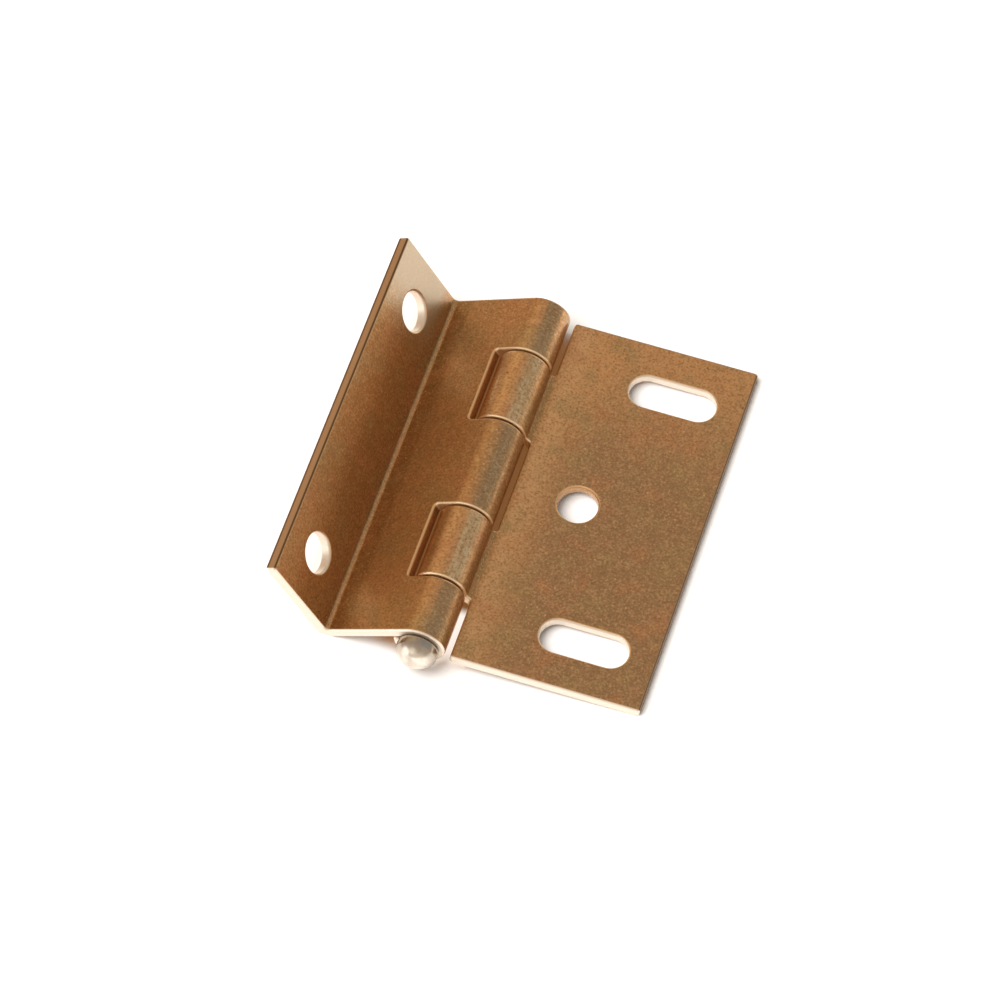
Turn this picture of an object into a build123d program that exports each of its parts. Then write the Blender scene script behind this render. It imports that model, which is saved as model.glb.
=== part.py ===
from build123d import *
import os
from math import acos, asin, atan2, copysign, cos, degrees, hypot, radians, sin, sqrt

# Cranked five-knuckle hinge: two punched and rolled sheet leaves on a headed loose pin.
# Driving dimensions in millimetres.

# Sheet, pin and barrel
HINGE_LENGTH = 50.0     # both leaves, measured along the pin
SHEET = 1.3             # thickness of the sheet that both leaves are made of
PIN_DIAMETER = 3.8
PIN_CLEARANCE = 0.05    # radial, between the pin and the rolled knuckles
ROLL_GAP = 0.2          # slit between the end of a roll and the sheet that it closes on
CORNER_RADIUS = 0.4     # free corners of both leaves

# Knuckles, measured along the pin
END_KNUCKLE = 8.0       # the two outer knuckles, on the cranked leaf
MIDDLE_KNUCKLE = 12.8   # the middle knuckle, on the cranked leaf
KNUCKLE_GAP = 0.25      # end play between neighbouring knuckles

# Flat leaf
LEAF_REACH = 27.5       # from the pin's axis to the free edge
LEAF_BACK_GAP = 0.2     # left between the backs of the leaves when they lie folded together
NECK_RADIUS = 0.8       # inside radius of the bend that rises into the knuckles
LEAF_NOTCH_GAP = 0.55   # left between the barrel and the notches for the other leaf's knuckles
LEAF_HOLE_REACH = 12.0  # from the pin's axis to the round hole
SLOT_WIDTH = 4.5
SLOT_LENGTH = 11.0      # end to end, across the leaf
SLOT_EDGE = 9.0         # from the free edge to the middle of each slot

# Cranked leaf
PLATE_RUN = 11.6        # from above the pin's axis to the inside of the fold
FLANGE_HEIGHT = 12.8    # from the inside of the fold to the free edge
FOLD_RADIUS = 0.6       # inside radius of the right-angle fold
PLATE_NOTCH_GAP = 0.2   # left between the barrel and the notches for the other leaf's knuckles
FLANGE_HOLE_EDGE = 6.3  # from the free edge to the middle of each flange hole

# Screw holes of both leaves
SCREW_HOLE = 5.0        # diameter of the round holes
HOLE_END = 6.8          # from the ends of the leaves to the outer holes and slots

# Pin head
HEAD_DIAMETER = 5.1
HEAD_RIM = 1.0          # straight part of the head
HEAD_DOME = 1.7         # rounded part of the head
HEAD_SEAT = 0.15        # left between the head and the barrel's end
PIN_NOSE = 0.5          # chamfer that leads the pin into the knuckles

# Worked out from the driving dimensions
BORE_RADIUS = PIN_DIAMETER / 2 + PIN_CLEARANCE
BARREL_RADIUS = BORE_RADIUS + SHEET
ROLL_RADIUS = BORE_RADIUS + SHEET / 2
HALF_LENGTH = HINGE_LENGTH / 2
HOLE_OFFSET = HALF_LENGTH - HOLE_END
PAIR_SPACE = (HINGE_LENGTH - MIDDLE_KNUCKLE - 2 * END_KNUCKLE) / 2
PAIR_OFFSET = (MIDDLE_KNUCKLE + PAIR_SPACE) / 2
LEAF_TOP = SHEET + LEAF_BACK_GAP - BORE_RADIUS
LEAF_NOTCH = BARREL_RADIUS + LEAF_NOTCH_GAP
SLOT_REACH = LEAF_REACH - SLOT_EDGE
NECK_REACH = BARREL_RADIUS + NECK_RADIUS
NECK_RISE = degrees(asin((LEAF_TOP + NECK_RADIUS) / NECK_REACH))
NECK_START = NECK_REACH * cos(radians(NECK_RISE))
PLATE_NOTCH = sqrt((BARREL_RADIUS + PLATE_NOTCH_GAP) ** 2 - BORE_RADIUS**2)
CUT = 4 * (BARREL_RADIUS + SHEET)


def direction(angle):
    return Vector(cos(radians(angle)), sin(radians(angle)))


def straight(length):
    return ("straight", length, 0)


def bend(inside_radius, turn):
    return ("bend", inside_radius + SHEET / 2, turn)


def sheet_section(point, heading, runs):
    """Section of a sheet of even thickness that follows straight runs and bends from one end."""
    left = []
    right = []
    for kind, size, turn in runs:
        side = direction(heading + 90) * (SHEET / 2)
        if kind == "straight":
            end = point + direction(heading) * size
            left.append(Line(point + side, end + side))
            right.append(Line(point - side, end - side))
        else:
            hand = copysign(1, turn)
            outward = heading - 90 * hand
            centre = point - direction(outward) * size
            left.append(CenterArc(centre, size - hand * SHEET / 2, outward, turn))
            right.append(CenterArc(centre, size + hand * SHEET / 2, outward, turn))
            heading += turn
            end = centre + direction(outward + turn) * size
        if not left[1:]:
            first_cap = Line(point + side, point - side)
        point = end
    side = direction(heading + 90) * (SHEET / 2)
    last_cap = Line(point + side, point - side)
    return make_face([first_cap, *left, last_cap, *right])


def sheet_strip(section):
    return extrude(Plane.XZ * section, HALF_LENGTH, both=True)


def span(x_low, x_high, y_middle, y_length):
    """Tall block that cuts through the sheet between two distances from the pin's axis."""
    return Pos((x_low + x_high) / 2, y_middle, 0) * Box(x_high - x_low, y_length, CUT)


def make_flat_leaf():
    """Flat leaf in its own frame: pin along Y through the origin, leaf level and towards +X."""
    throat = NECK_RADIUS + SHEET + ROLL_GAP
    closure = (BARREL_RADIUS**2 + NECK_REACH**2 - throat**2) / (2 * BARREL_RADIUS * NECK_REACH)
    opening = degrees(acos(closure))
    tip = NECK_RISE - opening
    section = sheet_section(
        direction(tip) * ROLL_RADIUS,
        tip - 90,
        [
            bend(BORE_RADIUS, opening - 360),
            bend(NECK_RADIUS, 90 - NECK_RISE),
            straight(LEAF_REACH - NECK_START),
        ],
    )
    leaf = sheet_strip(section)
    leaf -= span(-CUT, LEAF_NOTCH, 0, MIDDLE_KNUCKLE + 2 * KNUCKLE_GAP)
    for end in (-1, 1):
        leaf -= span(-CUT, LEAF_NOTCH, end * HALF_LENGTH, 2 * (END_KNUCKLE + KNUCKLE_GAP))
    leaf -= Pos(LEAF_HOLE_REACH, 0, LEAF_TOP) * Cylinder(SCREW_HOLE / 2, 4 * SHEET)
    slot = extrude(SlotOverall(SLOT_LENGTH, SLOT_WIDTH), 2 * SHEET, both=True)
    for end in (-1, 1):
        leaf -= Pos(SLOT_REACH, end * HOLE_OFFSET, LEAF_TOP) * slot
    corners = leaf.edges().filter_by(Axis.Z).group_by(Axis.X)[-1]
    return fillet(corners, CORNER_RADIUS)


def make_cranked_leaf():
    """Cranked leaf in its own frame: pin along Y through the origin, plate level and towards -X."""
    tip = 180 - degrees(asin((BORE_RADIUS - ROLL_GAP) / BARREL_RADIUS))
    section = sheet_section(
        direction(tip) * ROLL_RADIUS,
        tip + 90,
        [
            bend(BORE_RADIUS, 450 - tip),
            straight(PLATE_RUN - FOLD_RADIUS),
            bend(FOLD_RADIUS, -90),
            straight(FLANGE_HEIGHT - FOLD_RADIUS),
        ],
    )
    leaf = sheet_strip(section)
    hole_height = BARREL_RADIUS + FLANGE_HEIGHT - FLANGE_HOLE_EDGE
    hole = Rot(0, 90, 0) * Cylinder(SCREW_HOLE / 2, 4 * SHEET)
    knuckle_space = Rot(90, 0, 0) * Cylinder(BARREL_RADIUS + PLATE_NOTCH_GAP / 2, PAIR_SPACE)
    for end in (-1, 1):
        leaf -= span(-PLATE_NOTCH, CUT, end * PAIR_OFFSET, PAIR_SPACE)
        leaf -= Pos(0, end * PAIR_OFFSET, 0) * knuckle_space
        leaf -= Pos(-PLATE_RUN, end * HOLE_OFFSET, hole_height) * hole
    corners = leaf.edges().filter_by(Axis.X).group_by(Axis.Z)[-1]
    return fillet(corners, CORNER_RADIUS)


def make_pin():
    """Pin along Y with its domed head at the -Y end."""
    radius = PIN_DIAMETER / 2
    head = HEAD_DIAMETER / 2
    seat = -HALF_LENGTH - HEAD_SEAT
    rim = seat - HEAD_RIM
    crown = rim - HEAD_DOME
    dome_radius = (head**2 + HEAD_DOME**2) / (2 * HEAD_DOME)
    outline = [
        Line((0, crown), (0, HALF_LENGTH)),
        Line((0, HALF_LENGTH), (radius - PIN_NOSE, HALF_LENGTH)),
        Line((radius - PIN_NOSE, HALF_LENGTH), (radius, HALF_LENGTH - PIN_NOSE)),
        Line((radius, HALF_LENGTH - PIN_NOSE), (radius, seat)),
        Line((radius, seat), (head, seat)),
        Line((head, seat), (head, rim)),
        CenterArc((0, crown + dome_radius), dome_radius, -90, degrees(asin(head / dome_radius))),
    ]
    return revolve(make_face(outline), Axis.Y)


# At rest the hinge lies on its barrel, the flat leaf's free edge and the cranked leaf's fold.
leaf_back = SHEET - LEAF_TOP
LEAF_TILT = degrees(asin(BARREL_RADIUS / hypot(LEAF_REACH, leaf_back)) - atan2(leaf_back, LEAF_REACH))
fold_run = PLATE_RUN - FOLD_RADIUS
fold_rise = BARREL_RADIUS + FOLD_RADIUS
fold_drop = BARREL_RADIUS - FOLD_RADIUS - SHEET
PLATE_TILT = degrees(asin(fold_drop / hypot(fold_run, fold_rise)) + atan2(fold_rise, fold_run))

nodes = {
    "cranked_leaf": Rot(0, -PLATE_TILT, 0) * make_cranked_leaf(),
    "flat_leaf": Rot(0, LEAF_TILT, 0) * make_flat_leaf(),
    "hinge_pin": make_pin(),
}

# The origin is the middle of the footprint, on the surface that the hinge lies on.
solids = [solid for shape in nodes.values() for solid in shape.solids()]
middle = Compound(solids).bounding_box().center()
stand = Pos(-middle.X, -middle.Y, BARREL_RADIUS)

os.makedirs("parts", exist_ok=True)
for name, shape in nodes.items():
    export_step(stand * shape, f"parts/{name}.step")
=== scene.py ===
"""Cranked five-knuckle hinge: two brassed sheet leaves, rolled round a headed loose pin."""
from math import acos, asin, atan2, cos, hypot, pi, radians, sin

import bmesh
import bpy
from mathutils import Matrix, Vector
from mathutils.geometry import tessellate_polygon


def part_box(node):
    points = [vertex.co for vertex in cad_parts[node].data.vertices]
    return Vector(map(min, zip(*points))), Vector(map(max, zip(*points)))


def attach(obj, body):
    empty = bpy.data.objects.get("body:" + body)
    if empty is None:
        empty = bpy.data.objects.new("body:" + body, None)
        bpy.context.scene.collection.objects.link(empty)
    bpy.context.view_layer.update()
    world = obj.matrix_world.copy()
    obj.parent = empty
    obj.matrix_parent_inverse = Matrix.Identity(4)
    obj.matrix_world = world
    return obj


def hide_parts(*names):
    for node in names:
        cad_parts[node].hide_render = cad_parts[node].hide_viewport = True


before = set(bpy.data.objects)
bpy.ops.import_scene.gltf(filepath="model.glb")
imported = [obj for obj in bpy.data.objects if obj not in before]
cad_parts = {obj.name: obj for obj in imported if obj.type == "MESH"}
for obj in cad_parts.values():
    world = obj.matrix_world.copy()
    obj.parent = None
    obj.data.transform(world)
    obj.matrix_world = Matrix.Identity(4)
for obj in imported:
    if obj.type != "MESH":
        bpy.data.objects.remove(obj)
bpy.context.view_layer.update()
MM = 0.001

# Sizes of the hinge in millimetres, the same as those of its solids
HINGE_LENGTH = 50.0
SHEET = 1.3
PIN_DIAMETER = 3.8
PIN_CLEARANCE = 0.05
ROLL_GAP = 0.2
CORNER_RADIUS = 0.4
END_KNUCKLE = 8.0
MIDDLE_KNUCKLE = 12.8
KNUCKLE_GAP = 0.25
LEAF_REACH = 27.5
LEAF_BACK_GAP = 0.2
NECK_RADIUS = 0.8
LEAF_NOTCH_GAP = 0.55
LEAF_HOLE_REACH = 12.0
SLOT_WIDTH = 4.5
SLOT_LENGTH = 11.0
SLOT_EDGE = 9.0
PLATE_RUN = 11.6
FLANGE_HEIGHT = 12.8
FOLD_RADIUS = 0.6
PLATE_NOTCH_GAP = 0.2
FLANGE_HOLE_EDGE = 6.3
SCREW_HOLE = 5.0
HOLE_END = 6.8
HEAD_DIAMETER = 5.1
HEAD_RIM = 1.0
HEAD_DOME = 1.7
HEAD_SEAT = 0.15
PIN_NOSE = 0.5

# Small rounding that only the finished metal has, in millimetres
SHOW_ROUND = 0.33       # edges on the side that the punch enters
BACK_ROUND = 0.10       # edges on the other side
NOTCH_ROUND = 0.45      # corners of the notches and knuckle ends
HEAD_ROUND = 0.15       # edges of the pin's head
ROUND_STEPS = 4         # facets across each rounded edge
CORNER_STEPS = 6        # facets round each corner
HOLE_STEPS = 48         # facets round each half of a hole
BEND_STEP = radians(4)  # facets round the rolls and folds
PIN_STEPS = 96          # facets round the pin
DOME_STEPS = 16         # facets from the crown of its head to the rim
PIN_SHARP = radians(32)  # edges of the pin that turn by more than this stay sharp

# Worked out from the sizes
BORE_RADIUS = PIN_DIAMETER / 2 + PIN_CLEARANCE
BARREL_RADIUS = BORE_RADIUS + SHEET
ROLL_RADIUS = BORE_RADIUS + SHEET / 2
HALF_LENGTH = HINGE_LENGTH / 2
HOLE_OFFSET = HALF_LENGTH - HOLE_END
MIDDLE_EDGE = MIDDLE_KNUCKLE / 2
END_EDGE = HALF_LENGTH - END_KNUCKLE
LEAF_TOP = SHEET + LEAF_BACK_GAP - BORE_RADIUS
LEAF_NOTCH = BARREL_RADIUS + LEAF_NOTCH_GAP
NECK_REACH = BARREL_RADIUS + NECK_RADIUS
NECK_RISE = asin((LEAF_TOP + NECK_RADIUS) / NECK_REACH)
NECK_START = NECK_REACH * cos(NECK_RISE)
PLATE_NOTCH = ((BARREL_RADIUS + PLATE_NOTCH_GAP) ** 2 - BORE_RADIUS**2) ** 0.5
THROAT = NECK_RADIUS + SHEET + ROLL_GAP
FLAT_OPENING = acos((BARREL_RADIUS**2 + NECK_REACH**2 - THROAT**2) / (2 * BARREL_RADIUS * NECK_REACH))
FLAT_TIP = NECK_RISE - FLAT_OPENING
CRANKED_TIP = pi - asin((BORE_RADIUS - ROLL_GAP) / BARREL_RADIUS)

# How the leaves are turned about the pin at rest
LEAF_BACK = SHEET - LEAF_TOP
LEAF_TILT = asin(BARREL_RADIUS / hypot(LEAF_REACH, LEAF_BACK)) - atan2(LEAF_BACK, LEAF_REACH)
FOLD_RUN = PLATE_RUN - FOLD_RADIUS
FOLD_RISE = BARREL_RADIUS + FOLD_RADIUS
FOLD_DROP = BARREL_RADIUS - FOLD_RADIUS - SHEET
PLATE_TILT = asin(FOLD_DROP / hypot(FOLD_RUN, FOLD_RISE)) + atan2(FOLD_RISE, FOLD_RUN)

# Stretch of the barrel with wear and a painted reflection, as angles up from +X, and where it lies along
# each sheet
WEAR_AND_REFLECTION_FROM = radians(42)
WEAR_AND_REFLECTION_TO = radians(76)
FLAT_WEAR_AND_REFLECTION_SPAN = [ROLL_RADIUS * (FLAT_TIP + 2 * pi - LEAF_TILT - angle) for angle in (WEAR_AND_REFLECTION_TO, WEAR_AND_REFLECTION_FROM)]
CRANKED_WEAR_AND_REFLECTION_SPAN = [ROLL_RADIUS * (2 * pi + angle - PLATE_TILT - CRANKED_TIP) for angle in (WEAR_AND_REFLECTION_FROM, WEAR_AND_REFLECTION_TO)]

# How the faces and cut edges of a blank are told apart
FRONT = 1               # mark of the face at +z
BACK = 2                # mark of the face at -z
END_ZONE = 1.0          # cut edges this close to an end of a leaf, in millimetres, belong to that end

# The pin's axis and the middle of the leaves, in metres, from the frame
pin_low, pin_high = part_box("hinge_pin")
leaf_low, leaf_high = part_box("flat_leaf")
AXIS = Vector(((pin_low.x + pin_high.x) / 2, (leaf_low.y + leaf_high.y) / 2, (pin_low.z + pin_high.z) / 2))


class SheetPath:
    """Middle line of a bent sheet, as runs of (length, turn), seen along the pin."""

    def __init__(self, point, heading, runs):
        self.runs = []
        start = 0.0
        for length, turn in runs:
            bend = turn / length
            self.runs.append((start, length, point, heading, bend))
            point, heading = self.follow(point, heading, bend, length)
            start += length
        self.length = start

    @staticmethod
    def follow(point, heading, bend, length):
        if not bend:
            return point + Vector((cos(heading), sin(heading))) * length, heading
        end = heading + bend * length
        swing = Vector((sin(end) - sin(heading), cos(heading) - cos(end)))
        return point + swing / bend, end

    def at(self, distance):
        """Point, direction along the sheet and direction through it, in the leaf's own frame."""
        run = max((r for r in self.runs if r[0] <= distance + 1e-6), key=lambda r: r[0])
        start, _, point, heading, bend = run
        point, heading = self.follow(point, heading, bend, distance - start)
        along = Vector((cos(heading), 0, sin(heading)))
        through = Vector((-sin(heading), 0, cos(heading)))
        return Vector((point.x, 0, point.y)), along, through

    def bend_stations(self):
        """Distances at which the sheet is divided so that its bends come out round."""
        stations = []
        for start, length, _, _, bend in self.runs:
            steps = round(abs(bend) * length / BEND_STEP)
            stations += [start + length * step / steps for step in range(1, steps)]
            if bend:
                stations.append(start + length)
        return [s for s in stations if s < self.length - 1e-6]


def polar(radius, angle):
    return Vector((radius * cos(angle), radius * sin(angle)))


def rounded_outline(corners):
    """Points and outward normals of an outline given as (along, across, radius) corners, in order."""
    loop = []
    places = [Vector(corner[:2]) for corner in corners]
    for i, (place, corner) in enumerate(zip(places, corners)):
        before = (place - places[i - 1]).normalized()
        after = (places[(i + 1) % len(places)] - place).normalized()
        turn = before.angle_signed(after, 0.0) * -1
        radius = corner[2]
        hand = 1 if turn > 0 else -1
        first = Vector((before.y, -before.x))
        reach = radius * abs(sin(turn / 2) / cos(turn / 2))
        centre = place - before * reach - first * radius * hand
        for step in range(CORNER_STEPS + 1):
            angle = turn * step / CORNER_STEPS
            normal = Matrix.Rotation(angle, 2) @ first
            loop.append((centre + normal * radius * hand, normal))
    return loop


def slot_outline(along, across, length, width):
    """Points of a hole with round ends, with normals that point into the hole."""
    half = (length - width) / 2
    loop = []
    for end in (1, -1):
        for step in range(HOLE_STEPS + (1 if half else 0)):
            angle = pi / 2 * end - pi * step / HOLE_STEPS
            spoke = polar(1, angle)
            centre = Vector((along + half * end, across))
            loop.append((centre + spoke * (width / 2), -spoke))
    return loop


def edge_rings(show_side):
    """Rings of a cut edge from one face of the sheet to the other: (inset, height, lean of the normal)."""
    rings = []
    for side in (-1, 1):
        radius = SHOW_ROUND if side == show_side else BACK_ROUND
        for step in range(ROUND_STEPS + 1):
            lean = radians(90) * (step / ROUND_STEPS - (1 if side < 0 else 0))
            height = side * (SHEET / 2 - radius) + radius * sin(lean)
            rings.append((radius * (1 - cos(lean)), height, lean))
    return rings


def edge_marks(point, normal, lean, wall):
    """How much a point lies on a cut edge, and on a bare, a bright and a dark one.

    In a hole, wall is 1 for bare metal and 0 for brass. On the outline it is None: the end at -Y is bare,
    the knuckles' other sides towards -Y are bright, for a painted highlight, and the free edge and the end
    at +Y are dark, for painted shade.
    """
    edge = cos(lean)
    if wall is not None:
        return {"edge": edge, "bare": wall * edge**2}
    side = "bare" if point.y < END_ZONE - HALF_LENGTH else "bright"
    far_side = normal.y if point.y > HALF_LENGTH - END_ZONE else 0
    return {"edge": edge, side: edge * max(0, -normal.y), "dark": edge * max(0, normal.x, far_side)}


def flat_blank(outline, holes, show_side):
    """The sheet as cut, before it is bent: x along the sheet, y across it and z through it.

    Holes are (outline, wall), where wall is 1 for bare metal and 0 for brass.
    """
    bm = bmesh.new()
    normals = bm.verts.layers.float_vector.new("edge_normal")
    layers = {name: bm.verts.layers.float.new(name) for name in ("edge", "bare", "bright", "dark")}
    rings = edge_rings(show_side)
    caps = {0: [], len(rings) - 1: []}
    for loop, wall in [(outline, None), *holes]:
        rows = []
        for inset, height, lean in rings:
            row = []
            for point, normal in loop:
                place = point - normal * inset
                vert = bm.verts.new((place.x, place.y, height))
                vert[normals] = (normal.x * cos(lean), normal.y * cos(lean), sin(lean))
                for name, share in edge_marks(point, normal, lean, wall).items():
                    vert[layers[name]] = share
                row.append(vert)
            rows.append(row)
        for low, high in zip(rows, rows[1:]):
            for i in range(len(low)):
                bm.faces.new((low[i - 1], low[i], high[i], high[i - 1]))
        for level in caps:
            caps[level].append(rows[level])
    for loops in caps.values():
        verts = [vert for loop in loops for vert in loop]
        side = 1 if verts[0].co.z > 0 else -1
        for corners in tessellate_polygon([[vert.co for vert in loop] for loop in loops]):
            face = bm.faces.new([verts[k] for k in corners])
            face.normal_update()
            if face.normal.z * side < 0:
                face.normal_flip()
            face.material_index = FRONT if side > 0 else BACK
    return bm


def bent_sheet(name, path, blank, tilt):
    """Bends a blank along its path, turns it about the pin and gives it smooth normals."""
    for station in path.bend_stations():
        geometry = blank.verts[:] + blank.edges[:] + blank.faces[:]
        bmesh.ops.bisect_plane(
            blank, geom=geometry, dist=1e-5, plane_co=(station, 0, 0), plane_no=(1, 0, 0))
    place = Matrix.Translation(AXIS) @ Matrix.Rotation(tilt, 4, "Y")
    sheet = blank.verts.layers.float_vector.new("sheet")
    frames = []
    for vert in blank.verts:
        point, along, through = path.at(vert.co.x)
        vert[sheet] = vert.co
        frames.append((along, through))
        vert.co = place @ ((point + through * vert.co.z + Vector((0, vert.co.y, 0))) * MM)
    for face in blank.faces:
        face.smooth = True
    mesh = bpy.data.meshes.new(name)
    blank.to_mesh(mesh)
    blank.free()
    edge_normals = [Vector(item.vector) for item in mesh.attributes["edge_normal"].data]
    turn = place.to_3x3()
    loop_normals = []
    for face in mesh.polygons:
        for vertex in face.vertices:
            normal = edge_normals[vertex]
            if face.material_index:
                normal = Vector((0, 0, 1 if face.material_index == FRONT else -1))
            along, through = frames[vertex]
            bent = along * normal.x + Vector((0, normal.y, 0)) + through * normal.z
            loop_normals.append((turn @ bent).normalized())
    mesh.polygons.foreach_set("material_index", [0] * len(mesh.polygons))
    mesh.attributes.remove(mesh.attributes["edge_normal"])
    mesh.normals_split_custom_set(loop_normals)
    piece = bpy.data.objects.new(name, mesh)
    bpy.context.scene.collection.objects.link(piece)
    return piece


def flat_leaf_path():
    roll = 2 * pi - FLAT_OPENING
    neck = pi / 2 - NECK_RISE
    neck_radius = NECK_RADIUS + SHEET / 2
    runs = [(ROLL_RADIUS * roll, -roll), (neck_radius * neck, neck), (LEAF_REACH - NECK_START, 0)]
    return SheetPath(polar(ROLL_RADIUS, FLAT_TIP), FLAT_TIP - pi / 2, runs)


def cranked_leaf_path():
    roll = 5 * pi / 2 - CRANKED_TIP
    fold_radius = FOLD_RADIUS + SHEET / 2
    runs = [
        (ROLL_RADIUS * roll, roll),
        (PLATE_RUN - FOLD_RADIUS, 0),
        (fold_radius * pi / 2, -pi / 2),
        (FLANGE_HEIGHT - FOLD_RADIUS, 0),
    ]
    return SheetPath(polar(ROLL_RADIUS, CRANKED_TIP), CRANKED_TIP + pi / 2, runs)


def tabbed_outline(length, notch, tabs):
    """Outline of a leaf whose knuckle tabs, (low, high) spans across it, reach out from the notch."""
    corners = [(length, -HALF_LENGTH, CORNER_RADIUS), (length, HALF_LENGTH, CORNER_RADIUS)]
    for low, high in reversed(tabs):
        inner = [(notch, low), (notch, high)]
        if high < HALF_LENGTH:
            corners.append((*inner[1], NOTCH_ROUND))
        corners += [(0, high, NOTCH_ROUND), (0, low, NOTCH_ROUND)]
        if low > -HALF_LENGTH:
            corners.append((*inner[0], NOTCH_ROUND))
    return corners


def make_flat_leaf():
    path = flat_leaf_path()
    level = path.runs[-1][0] - NECK_START
    notch = level + LEAF_NOTCH
    low = MIDDLE_EDGE + KNUCKLE_GAP
    high = END_EDGE - KNUCKLE_GAP
    corners = tabbed_outline(path.length, notch, [(-high, -low), (low, high)])
    corners.insert(2, (notch, HALF_LENGTH, NOTCH_ROUND))
    corners.append((notch, -HALF_LENGTH, NOTCH_ROUND))
    holes = [(slot_outline(level + LEAF_HOLE_REACH, 0, SCREW_HOLE, SCREW_HOLE), 0)]
    for end in (-1, 1):
        reach = level + LEAF_REACH - SLOT_EDGE
        holes.append((slot_outline(reach, end * HOLE_OFFSET, SLOT_LENGTH, SLOT_WIDTH), 1))
    blank = flat_blank(rounded_outline(corners), holes, show_side=1)
    return bent_sheet("flat_leaf_sheet", path, blank, LEAF_TILT)


def make_cranked_leaf():
    path = cranked_leaf_path()
    notch = path.runs[1][0] + PLATE_NOTCH
    flange = path.runs[3][0] - FOLD_RADIUS
    tabs = [(-HALF_LENGTH, -END_EDGE), (-MIDDLE_EDGE, MIDDLE_EDGE), (END_EDGE, HALF_LENGTH)]
    corners = tabbed_outline(path.length, notch, tabs)
    holes = []
    for end in (-1, 1):
        rise = flange + FLANGE_HEIGHT - FLANGE_HOLE_EDGE
        holes.append((slot_outline(rise, end * HOLE_OFFSET, SCREW_HOLE, SCREW_HOLE), 1))
    blank = flat_blank(rounded_outline(corners), holes, show_side=-1)
    return bent_sheet("cranked_leaf_sheet", path, blank, -PLATE_TILT)


def pin_profile():
    """Outline of the turned pin as (radius, distance along the pin), from the crown to the nose."""
    head = HEAD_DIAMETER / 2
    shank = PIN_DIAMETER / 2
    seat = -HALF_LENGTH - HEAD_SEAT
    rim = seat - HEAD_RIM
    crown = rim - HEAD_DOME
    dome = (head**2 + HEAD_DOME**2) / (2 * HEAD_DOME)
    profile = []
    for step in range(1, DOME_STEPS + 1):
        angle = asin(head / dome) * step / DOME_STEPS
        profile.append((dome * sin(angle), crown + dome * (1 - cos(angle))))
    for step in range(ROUND_STEPS + 1):
        angle = radians(90) * step / ROUND_STEPS
        profile.append((head - HEAD_ROUND * (1 - cos(angle)), seat - HEAD_ROUND * (1 - sin(angle))))
    profile += [(shank, seat), (shank, HALF_LENGTH - PIN_NOSE), (shank - PIN_NOSE, HALF_LENGTH)]
    return crown, profile


def make_pin():
    crown, profile = pin_profile()
    bm = bmesh.new()
    rows = []
    for radius, reach in profile:
        row = []
        for step in range(PIN_STEPS):
            spoke = polar(radius, 2 * pi * step / PIN_STEPS)
            row.append(bm.verts.new(AXIS + Vector((spoke.x, reach, spoke.y)) * MM))
        rows.append(row)
    tip = bm.verts.new(AXIS + Vector((0, crown, 0)) * MM)
    for i in range(PIN_STEPS):
        bm.faces.new((tip, rows[0][i - 1], rows[0][i]))
        for near, far in zip(rows, rows[1:]):
            bm.faces.new((near[i - 1], far[i - 1], far[i], near[i]))
    bm.faces.new(rows[-1])
    bmesh.ops.recalc_face_normals(bm, faces=bm.faces[:])
    for face in bm.faces:
        face.smooth = True
    mesh = bpy.data.meshes.new("headed_pin")
    bm.to_mesh(mesh)
    bm.free()
    mesh.set_sharp_from_angle(angle=PIN_SHARP)
    piece = bpy.data.objects.new("headed_pin", mesh)
    bpy.context.scene.collection.objects.link(piece)
    return piece


class Nodes:
    """Short calls for the nodes of a material or of the surround."""

    def __init__(self, tree):
        self.tree = tree
        tree.nodes.clear()

    def add(self, kind, inputs, **settings):
        node = self.tree.nodes.new("ShaderNode" + kind)
        for name, value in settings.items():
            setattr(node, name, value)
        for name, value in inputs.items():
            self.feed(node.inputs[name], value)
        return node

    def feed(self, socket, value):
        if isinstance(value, bpy.types.NodeSocket):
            self.tree.links.new(value, socket)
        else:
            socket.default_value = value

    def attribute(self, name, output):
        return self.add("Attribute", {}, attribute_name=name).outputs[output]

    def parts(self, vector):
        return self.add("SeparateXYZ", {"Vector": vector}).outputs

    def stretch(self, vector, scale):
        return self.add("Mapping", {"Vector": vector, "Scale": scale}).outputs["Vector"]

    def noise(self, vector, scale, detail=2.0, roughness=0.5):
        inputs = {"Vector": vector, "Scale": scale, "Detail": detail, "Roughness": roughness}
        return self.add("TexNoise", inputs).outputs["Fac"]

    def spots(self, vector, scale, radius, share):
        """1 on round spots scattered over the surface, on that share of the cells they lie in."""
        node = self.add("TexVoronoi", {"Vector": vector, "Scale": scale})
        chosen = self.math("LESS_THAN", self.parts(node.outputs["Color"])["X"], share)
        spot = self.ramp(node.outputs["Distance"], radius / 2, radius, 1.0, 0.0)
        return self.math("MULTIPLY", chosen, spot)

    def math(self, operation, a, b=0.0):
        return self.add("Math", {0: a, 1: b}, operation=operation).outputs[0]

    def ramp(self, value, low, high, to_low=0.0, to_high=1.0):
        """Value from low to high, eased into to_low to to_high."""
        inputs = {"Value": value, "From Min": low, "From Max": high, "To Min": to_low, "To Max": to_high}
        return self.add("MapRange", inputs, interpolation_type="SMOOTHSTEP").outputs["Result"]

    def band(self, value, low, high, soft):
        """1 between low and high, easing to 0 over soft on either side."""
        rise = self.ramp(value, low - soft, low + soft)
        fall = self.ramp(value, high - soft, high + soft, 1.0, 0.0)
        return self.math("MULTIPLY", rise, fall)

    def blend(self, share, a, b):
        node = self.add("Mix", {}, data_type="RGBA")
        for socket, value in zip((node.inputs[0], node.inputs[6], node.inputs[7]), (share, a, b)):
            self.feed(socket, value)
        return node.outputs[2]

    def bump(self, height, strength, depth):
        inputs = {"Height": height, "Strength": strength, "Distance": depth}
        return self.add("Bump", inputs).outputs["Normal"]

    def finish_with(self, kind, shader):
        self.add(kind, {"Surface": shader})


def new_material(name):
    material = bpy.data.materials.new(name)
    material.use_nodes = True
    return material, Nodes(material.node_tree)


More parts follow.
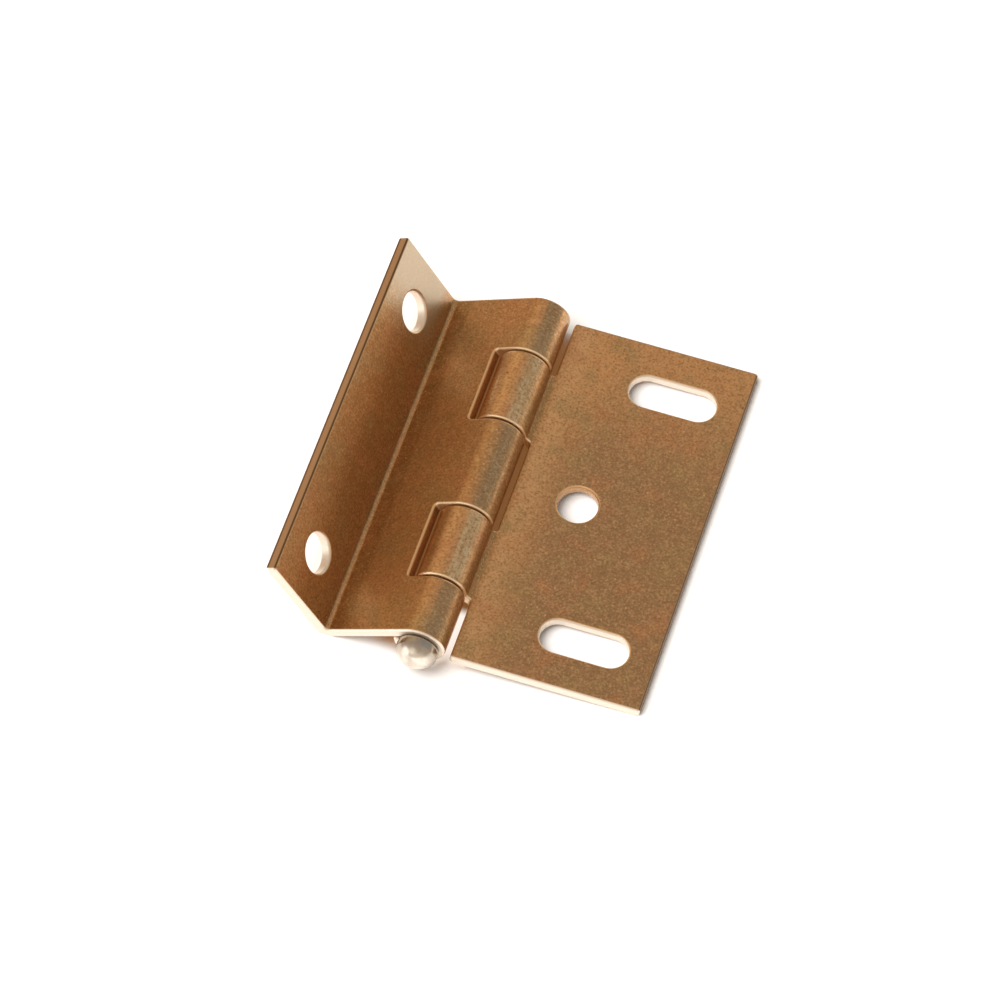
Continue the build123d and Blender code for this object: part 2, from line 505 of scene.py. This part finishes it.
# Colours of the plating, of its cut edges and of the pin
BRASS = (0.536, 0.292, 0.119, 1)
# painted shade up the flange
FLANGE_PAINTED_SHADE = (0.489, 0.236, 0.068, 1)
BRASS_DULL = (0.44, 0.26, 0.126, 1)
# painted light on the leaves and their knuckles
BRASS_PAINTED_LIGHT = (0.724, 0.388, 0.163, 1)
# painted sheen on the inside of the flange
FLANGE_PAINTED_SHEEN = (0.535, 0.44, 0.315, 1)
BRASS_RED = (0.62, 0.292, 0.129, 1)
BRASS_GREEN = (0.47, 0.312, 0.136, 1)
BRASS_PIT = (0.338, 0.176, 0.068, 1)
# light specks of the grain, and painted highlights on the flat leaf and its knuckles
BRASS_SPECK_AND_HIGHLIGHT = (0.79, 0.496, 0.245, 1)
# rims with wear and a painted highlight
EDGE_WEAR_AND_HIGHLIGHT = (0.88, 0.55, 0.27, 1)
EDGE_TAN = (0.564, 0.344, 0.184, 1)
# painted shade on the free edges and the end at +Y
EDGE_PAINTED_SHADE = (0.169, 0.084, 0.031, 1)
# painted shade in the neck and fold bends
BEND_PAINTED_SHADE = (0.338, 0.164, 0.037, 1)
# wear with a painted reflection on a stretch of the knuckles, and its scuffs and streaks
FLAT_WEAR_AND_REFLECTION = (0.658, 0.416, 0.204, 1)
FLAT_SCUFF_AND_REFLECTION = (0.827, 0.584, 0.326, 1)
CRANKED_WEAR_AND_REFLECTION = (0.357, 0.204, 0.092, 1)
CRANKED_SCUFF_AND_REFLECTION = (0.479, 0.3, 0.15, 1)
CUT_METAL = (0.86, 0.76, 0.65, 1)
# painted highlight on the knuckles' sides towards -Y
RIM_PAINTED_HIGHLIGHT = (0.98, 0.79, 0.54, 1)
PIN_STEEL = (0.86, 0.785, 0.685, 1)
PIN_SHADE = (0.62, 0.55, 0.475, 1)
# painted shade round the rim of the pin's head
PIN_RIM_PAINTED_SHADE = (0.34, 0.28, 0.22, 1)
PIN_RIM_FROM = 1.7      # distances from the pin's axis between which the painted shade comes in, in millimetres
PIN_RIM_TO = 2.5


# Places on a sheet are in millimetres from the end of its roll, so the scales below are per millimetre
WEAR_AND_REFLECTION_WAVER = 0.8         # how far the border of the stretch with wear and painted reflection strays


def mottled(nodes, sheet, colour):
    """Cloudy reddish and greenish tints, with smaller dark and light patches."""
    tint = nodes.noise(sheet, 0.2, 2.0, 0.6)
    colour = nodes.blend(nodes.ramp(tint, 0.5, 0.7, 0.0, 0.7), colour, BRASS_RED)
    colour = nodes.blend(nodes.ramp(tint, 0.3, 0.5, 0.7, 0.0), colour, BRASS_GREEN)
    mottle = nodes.noise(sheet, 1.1, 3.0, 0.65)
    colour = nodes.blend(nodes.ramp(mottle, 0.35, 0.5, 0.15, 0.0), colour, BRASS_PIT)
    return nodes.blend(nodes.ramp(mottle, 0.5, 0.65, 0.0, 0.25), colour, BRASS_SPECK_AND_HIGHLIGHT)


def rubbed_and_reflecting(nodes, sheet, colour, wear_and_reflection_span, wear_and_reflection, streak):
    """Wear and painted reflection over a stretch of the knuckles: scuffs, and streaks along the pin."""
    waver = nodes.math("MULTIPLY", nodes.noise(sheet, 0.7, 3.0, 0.7), WEAR_AND_REFLECTION_WAVER)
    along = nodes.math("ADD", nodes.parts(sheet)["X"], waver)
    stretch = nodes.band(along, wear_and_reflection_span[0] + WEAR_AND_REFLECTION_WAVER / 2, wear_and_reflection_span[1] + WEAR_AND_REFLECTION_WAVER / 2, 0.2)
    lines = nodes.noise(nodes.stretch(sheet, (3.2, 0.2, 1)), 1.0, 3.0, 0.6)
    scuffs = nodes.noise(sheet, 2.0, 3.0, 0.7)
    patch = nodes.ramp(nodes.math("ADD", lines, scuffs), 0.88, 1.14, 0.0, 0.95)
    # wear and painted reflection over the stretch, then its scuffs and streaks
    colour = nodes.blend(nodes.math("MULTIPLY", stretch, 0.5), colour, wear_and_reflection)
    return nodes.blend(nodes.math("MULTIPLY", stretch, patch), colour, streak)


def grained(nodes, sheet, grain, colour):
    """Fine grain, with a few bright and dark specks."""
    colour = nodes.blend(nodes.ramp(grain, 0.32, 0.52, 0.65, 0.0), colour, BRASS_PIT)
    colour = nodes.blend(nodes.ramp(grain, 0.52, 0.72, 0.0, 0.65), colour, BRASS_SPECK_AND_HIGHLIGHT)
    colour = nodes.blend(nodes.spots(sheet, 0.9, 0.14, 0.25), colour, BRASS_SPECK_AND_HIGHLIGHT)
    mirrored = nodes.stretch(sheet, (-1, 1, 1))
    return nodes.blend(nodes.spots(mirrored, 0.7, 0.14, 0.12), colour, BRASS_PIT)


def edged(nodes, sheet, edge, colour, free_edge):
    """Rims with wear and a painted highlight, then painted shade on the dark cut edges,
    a painted highlight on the bright ones and bare metal on the bare ones, as the blank marks them.
    """
    # rims with wear and a painted highlight
    rim = nodes.math("MULTIPLY", nodes.ramp(edge, 0.15, 0.45), nodes.ramp(edge, 0.75, 1.0, 1.0, 0.35))
    colour = nodes.blend(rim, colour, EDGE_WEAR_AND_HIGHLIGHT)
    # painted shade on the free edges and the end at +Y
    dark = nodes.attribute("dark", "Fac")
    colour = nodes.blend(nodes.ramp(dark, 0.2, 0.6), colour, EDGE_PAINTED_SHADE)
    # wall of the free edge: its own colour, with painted shade along one side
    cut = nodes.blend(nodes.ramp(nodes.parts(sheet)["Z"], 0.2, 0.5), free_edge, EDGE_PAINTED_SHADE)
    colour = nodes.blend(nodes.ramp(dark, 0.85, 0.98), colour, cut)
    # painted highlight on the knuckles' sides towards -Y
    colour = nodes.blend(nodes.ramp(nodes.attribute("bright", "Fac"), 0.25, 0.6), colour, RIM_PAINTED_HIGHLIGHT)
    return nodes.blend(nodes.ramp(nodes.attribute("bare", "Fac"), 0.25, 0.6), colour, CUT_METAL)


def brassed_sheet(name, tone_and_light, wear_and_reflection_span, wear_and_reflection, streak, free_edge, painted_sheen=None):
    """Satin brass plating on rolled steel.

    Its base tone, with its painted light and shade, is a function of the places along and across the sheet.
    Where it has a painted sheen is a function of the places along, across and through it.
    """
    material, nodes = new_material(name)
    sheet = nodes.attribute("sheet", "Vector")
    edge = nodes.attribute("edge", "Fac")
    along, across, through = nodes.parts(sheet)
    grain = nodes.noise(sheet, 3.4, 2.0, 0.65)
    # base tone, with its painted light and shade
    colour = mottled(nodes, sheet, tone_and_light(nodes, along, across))
    # wear and painted reflection on the knuckles
    colour = rubbed_and_reflecting(nodes, sheet, colour, wear_and_reflection_span, wear_and_reflection, streak)
    colour = grained(nodes, sheet, grain, colour)
    # painted sheen inside the flange
    if painted_sheen:
        colour = nodes.blend(painted_sheen(nodes, along, across, through), colour, FLANGE_PAINTED_SHEEN)
    colour = edged(nodes, sheet, edge, colour, free_edge)

    rough = nodes.ramp(grain, 0.3, 0.7, 0.42, 0.34)
    height = nodes.math("ADD", grain, nodes.math("MULTIPLY", nodes.noise(sheet, 0.9), 0.8))
    shader = nodes.add("BsdfPrincipled", {
        "Base Color": colour,
        "Metallic": 1.0,
        "Roughness": nodes.math("ADD", rough, nodes.ramp(edge, 0.6, 1.0, 0.0, 0.12)),
        "Normal": nodes.bump(height, 0.12, 0.00012),
        "Coat Weight": 0.5,
        "Coat Roughness": 0.2,
    })
    nodes.finish_with("OutputMaterial", shader.outputs[0])
    return material


def flat_leaf_tone_and_light(nodes, along, across):
    """Painted light beside and on its knuckles and towards its end at +Y, painted shade where its neck
    bends.
    """
    neck, level = (run[0] for run in flat_leaf_path().runs[1:])
    # painted light beside the knuckles and towards the end at +Y
    near_knuckles = nodes.ramp(along, level, level + 8, 0.85, 0.0)
    bright = nodes.math("ADD", near_knuckles, nodes.ramp(across, 4, HALF_LENGTH))
    colour = nodes.blend(nodes.math("MINIMUM", bright, 1.0), BRASS_DULL, BRASS_PAINTED_LIGHT)
    # painted highlight along the leaf's border by the knuckles
    border = nodes.band(along, level, level + 3, 1.5)
    colour = nodes.blend(nodes.math("MULTIPLY", border, 0.5), colour, BRASS_SPECK_AND_HIGHLIGHT)
    # painted highlight along the crest of the knuckles
    crest = nodes.band(along, FLAT_WEAR_AND_REFLECTION_SPAN[0] - 2.4, FLAT_WEAR_AND_REFLECTION_SPAN[0] - 1.2, 0.5)
    colour = nodes.blend(nodes.math("MULTIPLY", crest, 0.6), colour, BRASS_SPECK_AND_HIGHLIGHT)
    # painted shade where the neck bends
    bend = nodes.band(along, neck - 0.9, level + 0.2, 0.7)
    return nodes.blend(nodes.math("MULTIPLY", bend, 0.75), colour, BEND_PAINTED_SHADE)


def cranked_leaf_tone_and_light(nodes, along, across):
    """Painted shade beside the fold and up the flange, painted light towards -Y and on the knuckle at +Y.
    """
    fold, flange = (run[0] for run in cranked_leaf_path().runs[2:])
    # painted shade up the flange
    deep = nodes.math("MULTIPLY", nodes.ramp(along, flange, flange + 3), nodes.ramp(across, -18, -4))
    colour = nodes.blend(nodes.math("MULTIPLY", deep, 0.4), BRASS, FLANGE_PAINTED_SHADE)
    # painted light towards -Y
    colour = nodes.blend(nodes.ramp(across, -20, -6, 0.4, 0.0), colour, BRASS_PAINTED_LIGHT)
    # painted shade beside the fold, on the plate and up the flange
    plate_side = nodes.band(along, fold - 2.0, fold + 0.45, 0.45)
    flange_side = nodes.band(along, flange - 0.6, flange - 0.1, 0.25)
    beside_fold = nodes.math("MAXIMUM", plate_side, flange_side)
    colour = nodes.blend(nodes.math("MULTIPLY", beside_fold, 0.65), colour, BEND_PAINTED_SHADE)
    # painted highlight along the crest of the knuckle at +Y
    crest = nodes.band(along, CRANKED_WEAR_AND_REFLECTION_SPAN[1] + 0.2, CRANKED_WEAR_AND_REFLECTION_SPAN[1] + 1.0, 0.5)
    return nodes.blend(nodes.math("MULTIPLY", crest, nodes.ramp(across, 14, 19)), colour, BRASS_PAINTED_LIGHT)


def flange_painted_sheen(nodes, along, across, through):
    """A painted sheen on the inside of the flange, towards its end at +Y."""
    flange = cranked_leaf_path().runs[3][0]
    inside = nodes.ramp(through, -0.6, -0.2, 0.85, 0.0)
    corner = nodes.math("MULTIPLY", nodes.ramp(along, flange, flange + 3), nodes.ramp(across, 13, 21))
    return nodes.math("MULTIPLY", corner, inside)


def pin_steel():
    """Pale plated steel, a little uneven in tone, with painted shade round the head's rim."""
    material, nodes = new_material("pin_steel")
    place = nodes.add("TexCoord", {}).outputs["Object"]
    grain = nodes.noise(nodes.stretch(place, (1 / MM, 1 / MM, 1 / MM)), 0.8, 2.0, 0.5)
    colour = nodes.blend(nodes.ramp(grain, 0.3, 0.7), PIN_SHADE, PIN_STEEL)
    # painted shade by distance from the pin's axis, out towards the head's rim
    from_axis = {"Vector": place, "Location": (-AXIS.x / MM, 0, -AXIS.z / MM), "Scale": (1 / MM, 0, 1 / MM)}
    spoke = nodes.add("Mapping", from_axis).outputs["Vector"]
    radius = nodes.add("VectorMath", {0: spoke}, operation="LENGTH").outputs["Value"]
    shader = nodes.add("BsdfPrincipled", {
        "Base Color": nodes.blend(nodes.ramp(radius, PIN_RIM_FROM, PIN_RIM_TO, 0.0, 0.7), colour, PIN_RIM_PAINTED_SHADE),
        "Metallic": 1.0,
        "Roughness": nodes.ramp(grain, 0.3, 0.7, 0.28, 0.22),
    })
    nodes.finish_with("OutputMaterial", shader.outputs[0])
    return material


# Camera of the photograph: aimed at a point on the floor, in metres and degrees
CAMERA_TARGET = Vector((-0.0021735, 0.0005861, 0))
CAMERA_DISTANCE = 0.59804
CAMERA_AZIMUTH = radians(-68.762)
CAMERA_ELEVATION = radians(57.739)
CAMERA_ROLL = radians(-3.933)
CAMERA_LENS = 176.8

FLOOR_SIZE = 3.0
FLOOR_WHITE = (0.95, 0.95, 0.95, 1)

# Patch of floor under the barrel, in metres: where brass shuts it in, it gets painted shade and a painted
# brown glow
SHADE_X = (-0.012, 0.001)
SHADE_Y = (-0.025, 0.028)
SHADE_FADE = 0.003      # over which the patch begins at its edge towards -X
SHADE_NEAR = 0.008      # reach of what shuts it in
SHUT_IN = (0.15, 0.4)   # shares of open air at which it is wholly shut in, and not at all
SHADE_PAINT = (0.35, 0.20, 0.10, 1)
SHADE_GLOW = (0.17, 0.074, 0.022, 1)

# Beside the barrel's end at -Y the patch gets a painted near-white glow instead
OPEN_X = (AXIS.x + 0.0005, AXIS.x + 0.002)
OPEN_Y = (-0.015, -0.0165)
OPEN_GLOW = (0.95, 0.91, 0.84, 1)

# Broad overhead light that whitens the floor; the metal mirrors only the surround
LIGHT_FROM = Vector((-0.40, -0.25, 0.88))
LIGHT_WIDTH = radians(50)
LIGHT_POWER = 3.0

# Studio as the metal mirrors it: warm overhead, with soft walls and lamps round about
SKY_HIGH = (0.585, 0.5, 0.426, 1)
SKY_LOW = (0.702, 0.537, 0.368, 1)
SKY_FRONT = (0.66, 0.58, 0.50, 1)
SKY_RISE = (0.2, 0.7)   # heights between which the low colour turns into the high one
SKY_TURN = (0.1, -0.4)  # places along Y between which these turn into the front's
SOFT_WALLS = (
    # direction, angles where it starts to fade and is gone, colour
    ((0.66, 0.50, 0.56), 26, 36, (0.447, 0.463, 0.456, 1)),
    ((-0.58, 0.50, 0.64), 14, 30, (0.787, 0.625, 0.426, 1)),
    ((-0.80, 0.48, 0.35), 10, 22, (0.553, 0.375, 0.235, 1)),
    ((-0.20, 0.95, 0.22), 14, 26, (0.277, 0.25, 0.221, 1)),
    ((0.30, 0.92, 0.24), 8, 15, (1.25, 1.18, 1.05, 1)),
    ((-0.19, -0.85, 0.50), 10, 22, (1.25, 1.15, 1.02, 1)),
    ((-0.72, -0.66, 0.16), 11, 22, (2.3, 2.2, 2.1, 1)),
)


def make_camera():
    level = Vector((cos(CAMERA_AZIMUTH), sin(CAMERA_AZIMUTH), 0))
    back = level * cos(CAMERA_ELEVATION) + Vector((0, 0, sin(CAMERA_ELEVATION)))
    side = Vector((0, 0, 1)).cross(back).normalized()
    up = back.cross(side)
    right = side * cos(CAMERA_ROLL) + up * sin(CAMERA_ROLL)
    up = back.cross(right)
    camera = bpy.data.objects.new("camera", bpy.data.cameras.new("camera"))
    camera.data.lens = CAMERA_LENS
    camera.data.clip_start = 0.01
    turn = Matrix((right, up, back)).transposed().to_4x4()
    camera.matrix_world = Matrix.Translation(CAMERA_TARGET + back * CAMERA_DISTANCE) @ turn
    bpy.context.scene.collection.objects.link(camera)
    bpy.context.scene.camera = camera


def white_floor():
    material, nodes = new_material("white_floor")
    paint = nodes.add("BsdfDiffuse", {"Color": FLOOR_WHITE}).outputs[0]
    nodes.finish_with("OutputMaterial", paint)
    return material


def shaded_floor():
    """The same floor, with painted shade and a painted brown glow where brass shuts it in."""
    material, nodes = new_material("shaded_floor")
    open_air = nodes.add("AmbientOcclusion", {"Distance": SHADE_NEAR}).outputs["AO"]
    shut_in = nodes.ramp(open_air, *SHUT_IN, 1.0, 0.0)
    place = nodes.parts(nodes.add("TexCoord", {}).outputs["Object"])
    lit = nodes.math("MULTIPLY", nodes.ramp(place["X"], *OPEN_X), nodes.ramp(place["Y"], *OPEN_Y))
    level = nodes.math("MULTIPLY", shut_in, nodes.ramp(place["X"], SHADE_X[0], SHADE_X[0] + SHADE_FADE))
    # painted shade where brass shuts the floor in
    paint = nodes.add("BsdfDiffuse", {"Color": nodes.blend(level, FLOOR_WHITE, SHADE_PAINT)}).outputs[0]
    # painted brown glow there, and a painted near-white glow past the barrel's end at -Y
    glow_colour = nodes.blend(lit, SHADE_GLOW, OPEN_GLOW)
    glow = nodes.add("Emission", {"Color": glow_colour, "Strength": level}).outputs[0]
    nodes.finish_with("OutputMaterial", nodes.add("AddShader", {0: paint, 1: glow}).outputs[0])
    return material


def make_floor():
    half = FLOOR_SIZE / 2
    mesh = bpy.data.meshes.new("floor")
    points = [(x, y, 0) for y in (-half, *SHADE_Y, half) for x in (-half, *SHADE_X, half)]
    corners = [4 * row + column for row in range(3) for column in range(3)]
    mesh.from_pydata(points, [], [(k, k + 1, k + 5, k + 4) for k in corners])
    mesh.materials.append(white_floor())
    mesh.materials.append(shaded_floor())
    mesh.polygons[4].material_index = 1
    floor = bpy.data.objects.new("floor", mesh)
    bpy.context.scene.collection.objects.link(floor)


def make_light():
    light = bpy.data.objects.new("overhead_light", bpy.data.lights.new("overhead_light", "SUN"))
    light.data.energy = LIGHT_POWER
    light.data.angle = LIGHT_WIDTH
    light.rotation_euler = LIGHT_FROM.to_track_quat("Z", "Y").to_euler()
    light.visible_glossy = False
    bpy.context.scene.collection.objects.link(light)


def make_surround():
    """Soft studio surround, which lights the floor and shows in the metal."""
    world = bpy.data.worlds.new("studio")
    bpy.context.scene.world = world
    world.use_nodes = True
    nodes = Nodes(world.node_tree)
    direction = nodes.add("TexCoord", {}).outputs["Generated"]
    parts = nodes.parts(direction)
    colour = nodes.blend(nodes.ramp(parts["Z"], *SKY_RISE), SKY_LOW, SKY_HIGH)
    colour = nodes.blend(nodes.ramp(parts["Y"], *SKY_TURN), colour, SKY_FRONT)
    for centre, full, gone, wall in SOFT_WALLS:
        towards = {0: direction, 1: Vector(centre).normalized()}
        near = nodes.add("VectorMath", towards, operation="DOT_PRODUCT").outputs["Value"]
        share = nodes.ramp(near, cos(radians(gone)), cos(radians(full)))
        colour = nodes.blend(share, colour, wall)
    nodes.finish_with("OutputWorld", nodes.add("Background", {"Color": colour}).outputs[0])


flat_leaf = make_flat_leaf()
flat_leaf.data.materials.append(
    brassed_sheet("brassed_flat_leaf", flat_leaf_tone_and_light, FLAT_WEAR_AND_REFLECTION_SPAN, FLAT_WEAR_AND_REFLECTION, FLAT_SCUFF_AND_REFLECTION, EDGE_PAINTED_SHADE))
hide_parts("flat_leaf")
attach(flat_leaf, "flat_leaf")

cranked_leaf = make_cranked_leaf()
cranked_leaf.data.materials.append(
    brassed_sheet("brassed_cranked_leaf", cranked_leaf_tone_and_light, CRANKED_WEAR_AND_REFLECTION_SPAN, CRANKED_WEAR_AND_REFLECTION, CRANKED_SCUFF_AND_REFLECTION,
                  EDGE_TAN, flange_painted_sheen))
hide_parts("cranked_leaf")
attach(cranked_leaf, "cranked_leaf")

headed_pin = make_pin()
headed_pin.data.materials.append(pin_steel())
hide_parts("hinge_pin")
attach(headed_pin, "pin")

make_floor()
make_light()
make_surround()
make_camera()
bpy.context.scene.view_settings.view_transform = "Standard"
